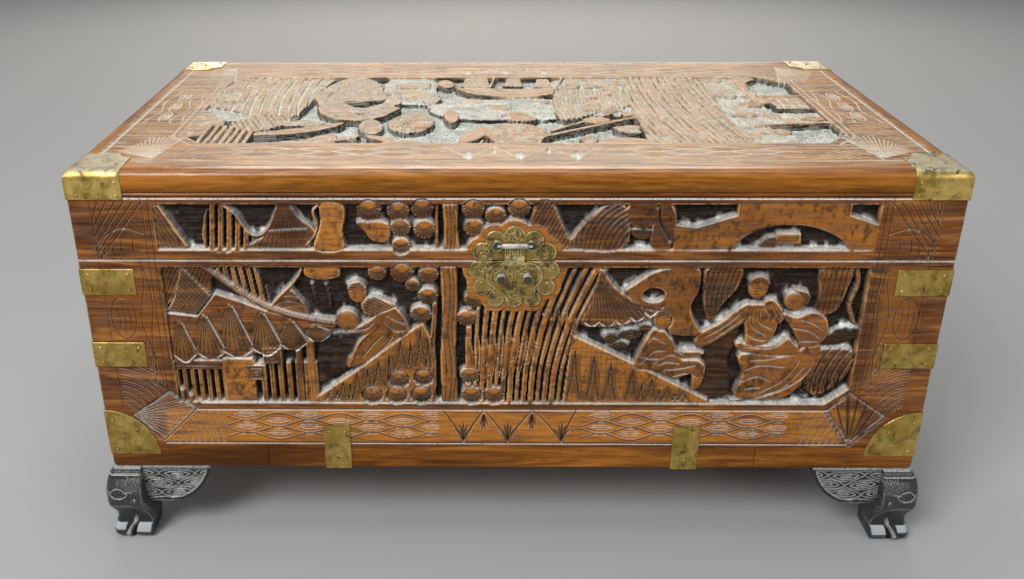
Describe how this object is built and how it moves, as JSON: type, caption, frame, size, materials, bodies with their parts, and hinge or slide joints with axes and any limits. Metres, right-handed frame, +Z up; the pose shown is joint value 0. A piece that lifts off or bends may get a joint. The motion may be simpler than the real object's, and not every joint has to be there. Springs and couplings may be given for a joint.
{
  "type": "carved chest",
  "caption": "Carved camphor-wood chest with a hinged lid, sheet-brass corner mounts, a lobed lock plate with a hasp, and ebonised claw feet.",
  "frame": {"origin": "on the floor under the middle of the chest's bounding box", "axes": "+Z up, the front with the hasp faces -Y, +X to the right seen from the front"},
  "size_m": [0.94, 0.528, 0.4535],
  "materials": {
    "carved_camphor": "carved, aged wax, pale dust in the recesses",
    "plain_camphor": "aged wax polish",
    "ebonised_wood": "ebonised, worn grey on the high places",
    "aged_brass": "aged sheet brass with dark spots",
    "nail_brass": "aged round nail heads",
    "worn_steel": "worn white metal"
  },
  "bodies": {
    "case": {"back_board": "plain_camphor", "base_rail_back": "plain_camphor", "base_rail_front": "plain_camphor", "base_rail_front_left": "plain_camphor", "base_rail_front_right": "plain_camphor", "base_rail_left": "plain_camphor", "base_rail_right": "plain_camphor", "base_straps": "aged_brass", "body_nails": "nail_brass", "bottom_board": "plain_camphor", "corner_plate_back_left": "aged_brass", "corner_plate_back_right": "aged_brass", "corner_plate_front_left": "aged_brass", "corner_plate_front_right": "aged_brass", "foot_back_left": "ebonised_wood", "foot_back_left_back_wing": "ebonised_wood", "foot_back_left_side_wing": "ebonised_wood", "foot_back_right": "ebonised_wood", "foot_back_right_back_wing": "ebonised_wood", "foot_back_right_side_wing": "ebonised_wood", "foot_front_left": "ebonised_wood", "foot_front_left_front_wing": "ebonised_wood", "foot_front_left_side_wing": "ebonised_wood", "foot_front_right": "ebonised_wood", "foot_front_right_front_wing": "ebonised_wood", "foot_front_right_side_wing": "ebonised_wood", "front_board": "carved_camphor", "hinge_body_leaves": "aged_brass", "hinge_pins": "worn_steel", "left_board": "carved_camphor", "lock_lugs": "worn_steel", "lower_lock_plate": "aged_brass", "right_board": "carved_camphor", "strap_lower_back_left": "aged_brass", "strap_lower_back_right": "aged_brass", "strap_lower_front_left": "aged_brass", "strap_lower_front_right": "aged_brass", "strap_upper_back_left": "aged_brass", "strap_upper_back_right": "aged_brass", "strap_upper_front_left": "aged_brass", "strap_upper_front_right": "aged_brass"},
    "lid": {"hasp_knobs": "worn_steel", "hasp_pin": "worn_steel", "hinge_lid_leaves": "aged_brass", "lid_cap_back_left": "aged_brass", "lid_cap_back_right": "aged_brass", "lid_cap_front_left": "aged_brass", "lid_cap_front_right": "aged_brass", "lid_nails": "nail_brass", "lid_nose_back": "plain_camphor", "lid_nose_front": "plain_camphor", "lid_nose_left": "plain_camphor", "lid_nose_right": "plain_camphor", "lid_skirt_back": "plain_camphor", "lid_skirt_front": "carved_camphor", "lid_skirt_left": "carved_camphor", "lid_skirt_right": "carved_camphor", "lid_top_board": "carved_camphor", "upper_lock_plate": "aged_brass"},
    "hasp": {"hasp": "aged_brass"}
  },
  "joints": [
    {"name": "lid_hinge", "type": "hinge", "parent": "case", "child": "lid", "pos_m": [0, 0.2555, 0.3532], "axis": [-1, 0, 0], "range_deg": [0, 100]},
    {"name": "hasp_hinge", "type": "hinge", "parent": "lid", "child": "hasp", "pos_m": [0, -0.2574, 0.372], "axis": [-1, 0, 0], "range_deg": [0, 150]}
  ]
}
